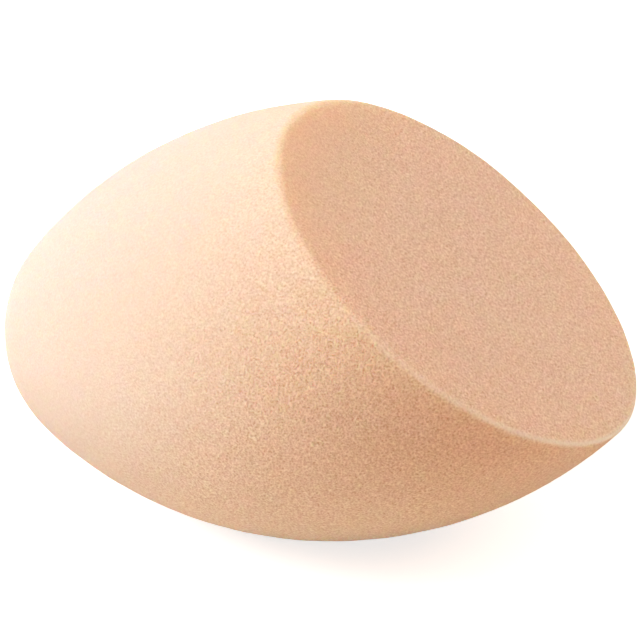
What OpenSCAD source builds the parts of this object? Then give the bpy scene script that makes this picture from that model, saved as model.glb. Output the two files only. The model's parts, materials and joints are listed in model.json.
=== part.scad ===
// Makeup sponge: a foam egg with a round nose and a slanted flat, lying on its belly.
// Millimetres. +Z up, nose towards -X, slanted flat towards +X, symmetric about Y = 0.
// The origin is the middle of the small patch that the sponge lies on.

/* [Egg] */
// Diameter of the egg at its widest section
belly_d = 42; // [36:0.5:48]
// Length from the widest section to the tip of the nose
nose_length = 33.5; // [29:0.5:40]
// Radius of the round nose
nose_r = 13; // [9:0.5:15]

/* [Slanted flat] */
// Where the flat leaves the top of the egg, from the widest section towards the tail
cut_start = -0.8; // [-4:0.1:4]
// Slope of the flat against the long axis, in degrees
cut_slope = 49.6; // [46:0.2:58]

/* [Rest] */
// Depth of the foam that its own weight presses flat
rest_depth = 0.5; // [0.2:0.1:1]

/* [Hidden] */
$fn = 180;
foam_color = "#e9bd98";

// One flank arc runs from the nose past the widest section to the tail
flank_r = (pow(nose_length - nose_r, 2) + pow(belly_d / 2, 2) - pow(nose_r, 2)) / (belly_d - 2 * nose_r);
// The centre of the flank arc lies this far beyond the long axis
flank_offset = flank_r - belly_d / 2;
nose_x = nose_r - nose_length;
// Where the nose arc runs into the flank arc, both with one tangent
join_x = nose_x * flank_r / (flank_r - nose_r);
tail_x = sqrt(pow(flank_r, 2) - pow(flank_offset, 2));
cut_top = sqrt(pow(flank_r, 2) - pow(cut_start, 2)) - flank_offset;
// Larger than the egg in every direction, for the blocks that cut it
reach = 2 * (nose_length + belly_d);

// Radius of the uncut egg at x along its long axis
function egg_r(x) =
    x < join_x ? sqrt(pow(nose_r, 2) - pow(x - nose_x, 2)) : sqrt(pow(flank_r, 2) - pow(x, 2)) - flank_offset;

// Height of the flat above the long axis at x, held within a disc of radius r
function cut_height(x, r) = max(-r, min(r, cut_top - (x - cut_start) * tan(cut_slope)));

// Area of the part of a disc of radius r that lies below height h
function area_below(r, h) = pow(r, 2) * (PI - acos(h / r) * PI / 180) + h * sqrt(pow(r, 2) - pow(h, 2));

// First moment of that area about the disc's middle
function moment_below(r, h) = -2 / 3 * pow(pow(r, 2) - pow(h, 2), 1.5);

function total(list) = list * [for (entry = list) 1];

// The centre of mass, from thin slices across the long axis
slices = 80;
slice_w = (tail_x + nose_length) / slices;
slice_x = [for (i = [0 : slices - 1]) (i + 0.5) * slice_w - nose_length];
slice_area = [for (x = slice_x) area_below(egg_r(x), cut_height(x, egg_r(x)))];
slice_moment = [for (x = slice_x) moment_below(egg_r(x), cut_height(x, egg_r(x)))];
mass_x = slice_x * slice_area / total(slice_area);
mass_z = total(slice_moment) / total(slice_area);

// The egg rolls nose down until its centre of mass is over the patch that it lies on
lie_tilt = atan2(-mass_x, flank_offset - mass_z);

// Half outline of the egg: distance from the long axis across, distance along it upwards
module egg_outline() {
    intersection() {
        translate([-flank_offset, 0]) circle(r = flank_r);
        translate([0, join_x]) square([belly_d, tail_x - join_x]);
    }
    intersection() {
        translate([0, nose_x]) circle(r = nose_r);
        translate([0, -nose_length]) square([belly_d, nose_length + join_x]);
    }
}

// The foam egg along X with its slanted flat, about the widest section's middle
module cut_egg() {
    difference() {
        rotate([0, 90, 0]) rotate_extrude() egg_outline();
        translate([cut_start, 0, cut_top])
            rotate([0, cut_slope, 0])
                translate([-reach / 2, -reach / 2, 0]) cube(reach);
    }
}

// One moulded piece of foam, balanced on its belly and pressed flat where it lies
module sponge_body() {
    color(foam_color)
        difference() {
            translate([0, 0, flank_r - rest_depth])
                rotate([0, -lie_tilt, 0])
                    translate([0, 0, -flank_offset]) cut_egg();
            translate([-reach / 2, -reach / 2, -reach]) cube(reach);
        }
}

sponge_body();
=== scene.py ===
"""Looks of the foam makeup sponge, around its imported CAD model. Every length is in metres."""

import json
import math

import bpy
import numpy as np
from mathutils import Matrix, Vector, noise


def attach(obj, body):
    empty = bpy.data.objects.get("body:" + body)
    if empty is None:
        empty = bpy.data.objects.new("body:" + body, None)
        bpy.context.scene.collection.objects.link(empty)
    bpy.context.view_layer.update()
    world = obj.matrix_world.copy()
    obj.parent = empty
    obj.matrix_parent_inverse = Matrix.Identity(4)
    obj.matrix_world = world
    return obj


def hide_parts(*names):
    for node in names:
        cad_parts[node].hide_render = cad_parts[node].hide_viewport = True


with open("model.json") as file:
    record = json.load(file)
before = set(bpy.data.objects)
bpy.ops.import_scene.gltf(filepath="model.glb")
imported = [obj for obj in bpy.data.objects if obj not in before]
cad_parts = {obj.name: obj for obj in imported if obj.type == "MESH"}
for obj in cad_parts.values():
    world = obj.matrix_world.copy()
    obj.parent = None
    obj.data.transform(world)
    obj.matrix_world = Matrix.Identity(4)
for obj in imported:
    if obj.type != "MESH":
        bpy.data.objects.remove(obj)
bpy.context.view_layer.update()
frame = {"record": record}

# Driving sizes of the foam egg, as in the part's source
BELLY_R = 0.021
NOSE_LENGTH = 0.0335
NOSE_R = 0.013
CUT_SLOPE = math.radians(49.6)
REST_DEPTH = 0.0005

# The foam is soft, so its edges are round
RIM_R = 0.0005
REST_EDGE_R = 0.00015

# Mesh of the egg: cells along each side of a disc's square core, and rings from there to the rim
CORE_CELLS = 100
FLAT_RINGS = 32
FLANK_RINGS = 140
FLAT_CORE_SHARE = 0.6
FLANK_CORE_SHARE = 0.33
RING_GRADING = 1.3

# Weights of a square grid and of one bulged to a disc in the core, so that no corner cell folds flat
SQUARE_WEIGHT = 0.6
BULGED_WEIGHT = 0.5

# Slow unevenness of the moulded foam, and the grain that its larger cells leave
SWELL_SIZE = 0.004
SWELL_HEIGHT = 0.00005
GRAIN_SIZE = 0.0008
GRAIN_HEIGHT = 0.00002

# Foam relief: fine open cells with frayed walls. Towards the nose it calms to a share of its strength.
CELL_SIZE = 0.0003
CELL_WALLS = (0.1, 0.8)
FRAY_SIZE = 0.0002
FRAY_DETAIL = 2.0
FRAY_RANGE = (0.25, 0.75)
FRAY_SHARE = 0.8
RELIEF_DEPTH = 0.0001
MEAN_RELIEF = 0.5
NOSE_WAY = (-0.84, 0.0, 0.54)
NOSE_REACH = (0.011, 0.026)
NOSE_RELIEF = 0.28

# Foam colour: mottled between two peach tones. Its grain is darker in the pores, partly painted shade, and
# paler on the tips of their walls, partly painted light.
MOTTLE_SIZE = 0.002
MOTTLE_DETAIL = 1.0
MOTTLE_RANGE = (0.3, 0.7)
ROSE_PEACH = (0.79, 0.590, 0.436, 1.0)
SAND_PEACH = (0.79, 0.596, 0.430, 1.0)
PORE_GRAIN_AND_SHADE_TINT = (0.71, 0.55, 0.45, 1.0)
TIP_GRAIN_AND_LIGHT_TINT = (1.20, 1.36, 1.47, 1.0)

# Painted light on the slanted flat: its tint, paler where the light falls on the flat, and the more orange
# one at its top, a painted glow of light shining through the foam's thin edge there. The skin is the height
# over which the tint grows across the rounded rim.
FLAT_LIGHT_TINT = (1.05, 1.008, 1.075, 1.0)
FLAT_SKIN = 0.0003
FLAT_TOP_WAY = (-0.87, 0.0, 0.50)
FLAT_TOP_REACH = (0.0084, 0.0196)
FLAT_TOP_GLOW_TINT = (1.09, 1.045, 0.97, 1.0)

# Painted light and shade: slow changes of tone over the foam where light or shade falls, as way, reach and
# tint. Each grows along its way, from none at the start of its reach, measured from the origin, to its whole
# tint at the end.
PAINTED_LIGHT_AND_SHADE_TONES = (
    # Painted light: the nose, where the strongest light falls, is paler and washed out
    (NOSE_WAY, (0.011, 0.034), (0.75, 0.858, 1.0, 1.0)),
    # Painted shade: the skin below the near rim, on the shaded side, is warmer and deeper
    ((0.48, -0.84, 0.26), (0.018, 0.030), (0.99, 0.962, 0.945, 1.0)),
    # Painted light: the near underside is rosier and paler, lit from the floor below
    ((-0.22, -0.84, -0.50), (0.002, 0.0104), (0.987, 1.035, 1.09, 1.0)),
)

# Painted highlight: the whitish line along the lower rim, where its rounded edge catches the light; its half
# width, and the heights between which it fades
RIM_HIGHLIGHT_CREAM = (1.0, 0.91, 0.84, 1.0)
RIM_HIGHLIGHT_BAND = 0.00033
RIM_HIGHLIGHT_FADE = (0.016, 0.034)

# Light inside the foam: how much of it spreads, less of it in the rim's line, how far, and the shares of that
# way that red, green and blue go. The foam's face is matte.
FOAM_SPREAD = 0.6
RIM_SPREAD = 0.1
SPREAD_REACH = 0.018
SPREAD_SHARES = (1.0, 0.2, 0.05)
FOAM_ROUGHNESS = 0.9
FOAM_SPECULAR = 0.15

# Floor: its colour in the light that it throws back and as it is seen, and its white glow where it is seen,
# which is less close to the sponge
FLOOR_HALF = 3.0
FLOOR_CREAM = (0.84, 0.71, 0.60, 1.0)
FLOOR_GREY = (0.70, 0.70, 0.70, 1.0)
WHITE = (1.0, 1.0, 1.0, 1.0)
SHADOW_REACH = (0.03, 0.12)
SHADOW_GLOW = 0.75

# Square lamps, all of one size and at one distance: name, azimuth and elevation in degrees, watts and colour
LAMP_SIZE = 0.5
LAMP_DISTANCE = 0.8
LAMPS = (
    ("key", -75.0, 45.0, 9.0, (1.0, 1.0, 1.0)),
    ("low_key", -60.0, 25.0, 1.07, (1.0, 1.0, 1.0)),
    ("fill", 16.0, 50.0, 1.02, (1.0, 0.75, 0.50)),
    ("back_fill", 115.0, 40.0, 4.15, (1.0, 0.87, 0.73)),
)

# Camera, fitted to the outline in the photograph
CAMERA_TARGET = (0.001968, -0.000462, 0.020939)
CAMERA_AZIMUTH = math.radians(16.03)
CAMERA_ELEVATION = math.radians(31.73)
CAMERA_ROLL = math.radians(-2.93)
CAMERA_DISTANCE = 0.42
CAMERA_LENS_MM = 248.1
CAMERA_CLIP_START = 0.01
SENSOR_MM = 36.0


def mount(name):
    """A mount's place and axis in the row frame."""
    found = next(m for m in frame["record"]["mounts"] if m["name"] == name)
    return np.array(found["pos_m"], float), np.array(found["axis"], float)


# The egg's own axes and middle, from the slanted flat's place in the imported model
FLAT_POINT, FLAT_NORMAL = mount("slanted_flat")
TILT = math.atan2(FLAT_NORMAL[2], FLAT_NORMAL[0]) - (math.pi / 2 - CUT_SLOPE)
LONG_AXIS = np.array([math.cos(TILT), 0.0, math.sin(TILT)])
UP_AXIS = np.array([-math.sin(TILT), 0.0, math.cos(TILT)])
FLANK_R = ((NOSE_LENGTH - NOSE_R) ** 2 + BELLY_R**2 - NOSE_R**2) / (2 * (BELLY_R - NOSE_R))
FLANK_OFFSET = FLANK_R - BELLY_R
NOSE_X = NOSE_R - NOSE_LENGTH
EGG_MIDDLE = np.array([0.0, 0.0, FLANK_R - REST_DEPTH]) - FLANK_OFFSET * UP_AXIS


def egg_gap(points):
    """How far points lie outside the uncut egg, and below zero inside it."""
    off = points - EGG_MIDDLE
    along = off @ LONG_AXIS
    across = np.linalg.norm(off - along[:, None] * LONG_AXIS, axis=1)
    nose = np.hypot(along - NOSE_X, across) - NOSE_R
    flank = np.hypot(along, across + FLANK_OFFSET) - FLANK_R
    return np.where(along * FLANK_OFFSET < NOSE_X * (across + FLANK_OFFSET), nose, flank)


def round_corner(a, b, radius):
    """The gap to the form that two gaps share, its edge rounded to the radius."""
    corner = np.hypot(np.maximum(a + radius, 0.0), np.maximum(b + radius, 0.0))
    return np.minimum(np.maximum(a, b), -radius) + corner


def sponge_gap(points):
    """How far points lie outside the finished foam, and below zero inside it."""
    flat = (points - FLAT_POINT) @ FLAT_NORMAL
    cut_egg = round_corner(egg_gap(points), flat, RIM_R)
    return round_corner(cut_egg, -points[:, 2], REST_EDGE_R)


def ray_ends(start, directions, gap, reach=0.06, steps=40):
    """Where rays from inside the form leave it."""
    directions = directions / np.linalg.norm(directions, axis=1)[:, None]
    near, far = np.zeros(len(directions)), np.full(len(directions), reach)
    for _ in range(steps):
        middle = (near + far) / 2
        inside = gap(start + middle[:, None] * directions) < 0
        near, far = np.where(inside, middle, near), np.where(inside, far, middle)
    return start + near[:, None] * directions


def disc(core_share, rings):
    """A unit disc of quads without a pole: a square core, and rings from it to the edge."""
    side = np.linspace(-1.0, 1.0, CORE_CELLS + 1)
    x, y = (g.ravel() for g in np.meshgrid(side, side))
    square = np.stack([x, y], 1) / math.sqrt(2)
    bulged = np.stack([x * np.sqrt(1 - y**2 / 2), y * np.sqrt(1 - x**2 / 2)], 1)
    core = core_share * (SQUARE_WEIGHT * square + BULGED_WEIGHT * bulged)
    number = np.arange(len(x)).reshape(CORE_CELLS + 1, CORE_CELLS + 1)
    corners = [number[:-1, :-1], number[:-1, 1:], number[1:, 1:], number[1:, :-1]]
    quads = [np.stack(corners, 2).reshape(-1, 4)]
    border = np.concatenate([number[0, :-1], number[:-1, -1], number[-1, :0:-1], number[:0:-1, 0]])
    first_angle = math.atan2(-1.0, -1.0)
    angle = first_angle + 2 * math.pi * np.arange(len(border)) / len(border)
    edge = np.stack([np.cos(angle), np.sin(angle)], 1)
    points, last = [core], border
    for k in range(1, rings + 1):
        share = 1 - (1 - k / rings) ** RING_GRADING
        ring = len(x) + (k - 1) * len(border) + np.arange(len(border))
        points.append(core[border] + share * (edge - core[border]))
        quads.append(np.stack([last, ring, np.roll(ring, -1), np.roll(last, -1)], 1))
        last = ring
    return np.concatenate(points), np.concatenate(quads), last


def foam_points():
    """Points and faces of the smooth sponge: a disc over the flat and one round the egg, with one rim."""
    side_axis = np.array([0.0, 1.0, 0.0])
    slope_axis = np.cross(side_axis, FLAT_NORMAL)
    depth = (FLAT_POINT - EGG_MIDDLE) @ FLAT_NORMAL

    def outward(plane_points):
        angle = np.arctan2(plane_points[:, 1], plane_points[:, 0])
        return np.cos(angle)[:, None] * slope_axis + np.sin(angle)[:, None] * side_axis

    def rim_distance(out):
        foot = EGG_MIDDLE + depth * FLAT_NORMAL
        return np.linalg.norm(ray_ends(foot, out, egg_gap) - foot, axis=1)

    flat_points, flat_quads, flat_edge = disc(FLAT_CORE_SHARE, FLAT_RINGS)
    out = outward(flat_points)
    reach = np.linalg.norm(flat_points, axis=1) * rim_distance(out)
    flat_rays = depth * FLAT_NORMAL + reach[:, None] * out

    egg_points, egg_quads, egg_edge = disc(FLANK_CORE_SHARE, FLANK_RINGS)
    out = outward(egg_points)
    rim_angle = np.arctan2(rim_distance(out), depth)
    angle = math.pi - np.linalg.norm(egg_points, axis=1) * (math.pi - rim_angle)
    egg_rays = np.cos(angle)[:, None] * FLAT_NORMAL + np.sin(angle)[:, None] * out

    kept = len(egg_points) - len(egg_edge)
    number = np.concatenate([np.arange(kept) + len(flat_points), flat_edge])
    faces = np.concatenate([flat_quads, number[egg_quads][:, ::-1]])
    rays = np.concatenate([flat_rays, egg_rays[:kept]])
    return ray_ends(EGG_MIDDLE, rays, sponge_gap), faces


def outward_normals(points, step=0.00002):
    """Unit normals of the smooth sponge at points on its surface."""
    moves = np.eye(3) * step
    slope = np.stack([sponge_gap(points + m) - sponge_gap(points - m) for m in moves], 1)
    return slope / np.linalg.norm(slope, axis=1)[:, None]


def uneven(points):
    """Height of the foam's real surface over the smooth form."""
    swell = [noise.noise(Vector(p)) for p in points / SWELL_SIZE]
    grain = [noise.noise(Vector(p)) for p in points / GRAIN_SIZE]
    return SWELL_HEIGHT * np.array(swell) + GRAIN_HEIGHT * np.array(grain)


def rim_highlight_nearness(points):
    """Mask of the painted highlight: 1 along the lower rim of the flat, falling to 0 away from it and up
    along it.
    """
    off = np.hypot(egg_gap(points), (points - FLAT_POINT) @ FLAT_NORMAL)
    low = np.interp(points[:, 2], RIM_HIGHLIGHT_FADE, (1.0, 0.0))
    return low * np.exp(-((off / RIM_HIGHLIGHT_BAND) ** 2))


def make_sponge():
    """The foam egg as one closed mesh, lying where its CAD solid lies."""
    points, faces = foam_points()
    # Mask of the painted highlight along the lower rim, kept on the mesh for the material
    rim_highlight = rim_highlight_nearness(points)
    points += uneven(points)[:, None] * outward_normals(points)
    points[:, 2] = np.maximum(points[:, 2], 0.0)
    mesh = bpy.data.meshes.new("foam_egg")
    mesh.from_pydata(points.tolist(), [], faces.tolist())
    mesh.validate()
    mesh.shade_smooth()
    # The painted rim highlight's mask, as a point attribute
    mesh.attributes.new("rim_highlight", "FLOAT", "POINT").data.foreach_set("value", rim_highlight)
    sponge = bpy.data.objects.new("foam_egg", mesh)
    bpy.context.scene.collection.objects.link(sponge)
    sponge.data.materials.append(foam_material())
    return sponge


def add_node(tree, kind, inputs=None, **settings):
    """A new shader node. An input that is another node's socket is linked, and any other is set."""
    node = tree.nodes.new(kind)
    for name, value in settings.items():
        setattr(node, name, value)
    for name, value in (inputs or {}).items():
        if isinstance(value, bpy.types.NodeSocket):
            tree.links.new(value, node.inputs[name])
        else:
            node.inputs[name].default_value = value
    return node


def new_material(name):
    """A node material, its tree and its main shader."""
    material = bpy.data.materials.new(name)
    material.use_nodes = True
    return material, material.node_tree, material.node_tree.nodes["Principled BSDF"]


def noise_field(tree, place, size, detail):
    """A noise over the place, between 0 and 1, whose spots are about that size. Detail adds finer ones."""
    inputs = {"Vector": place, "Scale": 1 / size, "Detail": detail}
    return add_node(tree, "ShaderNodeTexNoise", inputs).outputs["Fac"]


def remap(tree, value, low, high, to_low=0.0, to_high=1.0):
    """The value carried from one range to another, and clamped there."""
    inputs = {"Value": value, "From Min": low, "From Max": high, "To Min": to_low, "To Max": to_high}
    return add_node(tree, "ShaderNodeMapRange", inputs).outputs["Result"]


def blend_values(tree, share, low, high):
    """One value where the share is 0, the other where it is 1."""
    inputs = {"Factor": share, "A": low, "B": high}
    return add_node(tree, "ShaderNodeMix", inputs, data_type="FLOAT").outputs["Result"]


def blend_colors(tree, share, low, high, blend_type="MIX"):
    """One colour where the share is 0, the other blended over it where it is 1."""
    node = add_node(tree, "ShaderNodeMix", data_type="RGBA", blend_type=blend_type)
    for socket, value in (("Factor_Float", share), ("A_Color", low), ("B_Color", high)):
        target = next(s for s in node.inputs if s.identifier == socket)
        if isinstance(value, bpy.types.NodeSocket):
            tree.links.new(value, target)
        else:
            target.default_value = value
    return next(s for s in node.outputs if s.identifier == "Result_Color")


def share_along(tree, place, way, start, end):
    """0 up to the start, measured along the way from the origin, and 1 from the end on."""
    reached = add_node(tree, "ShaderNodeVectorMath", {0: place, 1: way}, operation="DOT_PRODUCT")
    return remap(tree, reached.outputs["Value"], start, end)


def foam_relief(tree, place, nose):
    """Height of the open cells and their frayed walls, between 0 and 1, calmer on the nose."""
    cells = add_node(tree, "ShaderNodeTexVoronoi", {"Vector": place, "Scale": 1 / CELL_SIZE})
    walls = remap(tree, cells.outputs["Distance"], *CELL_WALLS)
    frays = remap(tree, noise_field(tree, place, FRAY_SIZE, FRAY_DETAIL), *FRAY_RANGE)
    relief = blend_values(tree, FRAY_SHARE, walls, frays)
    return blend_values(tree, remap(tree, nose, 0.0, 1.0, 1.0, NOSE_RELIEF), MEAN_RELIEF, relief)


def foam_material():
    """Peach open-cell foam: fine cells as relief and colour, and light that spreads warm inside it. Its
    colour also holds painted light and shade: in the pores and on the cell tips, on the nose, below the near
    rim, on the underside, on the flat, and a painted highlight along the lower rim.
    """
    material, tree, shader = new_material("peach_foam")
    place = add_node(tree, "ShaderNodeTexCoord").outputs["Object"]
    relief = foam_relief(tree, place, share_along(tree, place, NOSE_WAY, *NOSE_REACH))
    mottle = remap(tree, noise_field(tree, place, MOTTLE_SIZE, MOTTLE_DETAIL), *MOTTLE_RANGE)
    color = blend_colors(tree, mottle, ROSE_PEACH, SAND_PEACH)
    # The grain's tint: darker in the pores, partly painted shade, and paler on the wall tips, partly painted
    # light
    color = blend_colors(tree, 1.0, color, blend_colors(tree, relief, PORE_GRAIN_AND_SHADE_TINT, TIP_GRAIN_AND_LIGHT_TINT), "MULTIPLY")
    # Painted light and shade: slow tones over the foam
    for way, reach, tint in PAINTED_LIGHT_AND_SHADE_TONES:
        color = blend_colors(tree, share_along(tree, place, way, *reach), color, tint, "MULTIPLY")
    # Painted light on the slanted flat, with a painted glow at its top
    skin_start = FLAT_POINT @ FLAT_NORMAL - RIM_R
    flat = share_along(tree, place, FLAT_NORMAL, skin_start, skin_start + FLAT_SKIN)
    flat_top_glow = share_along(tree, place, FLAT_TOP_WAY, *FLAT_TOP_REACH)
    flat_light_tint = blend_colors(tree, flat_top_glow, FLAT_LIGHT_TINT, FLAT_TOP_GLOW_TINT)
    color = blend_colors(tree, flat, color, flat_light_tint, "MULTIPLY")
    # Painted highlight: the whitish line along the lower rim
    rim_highlight = add_node(tree, "ShaderNodeAttribute", attribute_name="rim_highlight").outputs["Fac"]
    color = blend_colors(tree, rim_highlight, color, RIM_HIGHLIGHT_CREAM)
    tree.links.new(color, shader.inputs["Base Color"])

    bump = add_node(tree, "ShaderNodeBump", {"Height": relief, "Distance": RELIEF_DEPTH})
    tree.links.new(bump.outputs["Normal"], shader.inputs["Normal"])
    shader.inputs["Roughness"].default_value = FOAM_ROUGHNESS
    shader.inputs["Specular IOR Level"].default_value = FOAM_SPECULAR
    tree.links.new(remap(tree, rim_highlight, 0.0, 1.0, FOAM_SPREAD, RIM_SPREAD), shader.inputs["Subsurface Weight"])
    shader.inputs["Subsurface Radius"].default_value = SPREAD_SHARES
    shader.inputs["Subsurface Scale"].default_value = SPREAD_REACH
    return material


def aim(place, target, roll=0.0):
    """A matrix at place that looks at target along its -Z."""
    back = (Vector(place) - Vector(target)).normalized()
    right = Vector((0.0, 0.0, 1.0)).cross(back).normalized()
    up = back.cross(right)
    turned = right * math.cos(roll) + up * math.sin(roll)
    up = back.cross(turned)
    return Matrix.Translation(place) @ Matrix((turned, up, back)).transposed().to_4x4()


def around(azimuth, elevation, distance):
    """A place at that distance from the camera's target. Azimuth 0 is at -Y, and grows towards +X."""
    flat = distance * math.cos(elevation)
    off = Vector((flat * math.sin(azimuth), -flat * math.cos(azimuth), distance * math.sin(elevation)))
    return Vector(CAMERA_TARGET) + off


def make_camera():
    """The camera that sees the sponge as the photograph does."""
    camera = bpy.data.cameras.new("camera")
    camera.sensor_width = SENSOR_MM
    camera.lens = CAMERA_LENS_MM
    camera.clip_start = CAMERA_CLIP_START
    holder = bpy.data.objects.new("camera", camera)
    place = around(CAMERA_AZIMUTH, CAMERA_ELEVATION, CAMERA_DISTANCE)
    holder.matrix_world = aim(place, CAMERA_TARGET, CAMERA_ROLL)
    bpy.context.scene.collection.objects.link(holder)
    bpy.context.scene.camera = holder


def softbox(name, azimuth, elevation, watts, color):
    """A square area lamp that faces the sponge. Angles are in degrees."""
    lamp = bpy.data.lights.new(name, "AREA")
    lamp.shape = "SQUARE"
    lamp.size = LAMP_SIZE
    lamp.energy = watts
    lamp.color = color
    holder = bpy.data.objects.new(name, lamp)
    place = around(math.radians(azimuth), math.radians(elevation), LAMP_DISTANCE)
    holder.matrix_world = aim(place, CAMERA_TARGET)
    bpy.context.scene.collection.objects.link(holder)


def seen_directly(tree):
    """1 for rays from the camera, mirrors and glass, and 0 for the light that falls on things."""
    path = add_node(tree, "ShaderNodeLightPath").outputs
    mirrored = add_node(tree, "ShaderNodeMath", {0: path["Is Glossy Ray"], 1: path["Is Transmission Ray"]},
                        operation="MAXIMUM").outputs["Value"]
    return add_node(tree, "ShaderNodeMath", {0: path["Is Camera Ray"], 1: mirrored},
                    operation="MAXIMUM").outputs["Value"]


def make_floor():
    """A plain pale floor that looks white, and keeps the sponge's soft shadow."""
    mesh = bpy.data.meshes.new("floor")
    corners = [(FLOOR_HALF * x, FLOOR_HALF * y, 0.0) for x, y in ((-1, -1), (1, -1), (1, 1), (-1, 1))]
    mesh.from_pydata(corners, [], [(0, 1, 2, 3)])
    floor = bpy.data.objects.new("floor", mesh)
    bpy.context.scene.collection.objects.link(floor)
    material, tree, shader = new_material("pale_floor")
    mesh.materials.append(material)
    direct = seen_directly(tree)
    tree.links.new(blend_colors(tree, direct, FLOOR_CREAM, FLOOR_GREY), shader.inputs["Base Color"])
    shader.inputs["Roughness"].default_value = 1.0
    shader.inputs["Specular IOR Level"].default_value = 0.0
    place = add_node(tree, "ShaderNodeTexCoord").outputs["Object"]
    away = add_node(tree, "ShaderNodeVectorMath", {0: place}, operation="LENGTH").outputs["Value"]
    glow = remap(tree, away, *SHADOW_REACH, SHADOW_GLOW, 1.0)
    strength = add_node(tree, "ShaderNodeMath", {0: glow, 1: direct}, operation="MULTIPLY")
    tree.links.new(strength.outputs["Value"], shader.inputs["Emission Strength"])
    shader.inputs["Emission Color"].default_value = WHITE


def make_world():
    """White all round where it is seen, and no light of its own on the sponge."""
    world = bpy.data.worlds.new("studio")
    world.use_nodes = True
    tree = world.node_tree
    background = tree.nodes["Background"]
    tree.links.new(seen_directly(tree), background.inputs["Strength"])
    background.inputs["Color"].default_value = WHITE
    bpy.context.scene.world = world


make_camera()
make_world()
make_floor()
for lamp in LAMPS:
    softbox(*lamp)
sponge = make_sponge()
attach(sponge, "root")
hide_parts("sponge_body")

bpy.context.scene.view_settings.view_transform = "Standard"
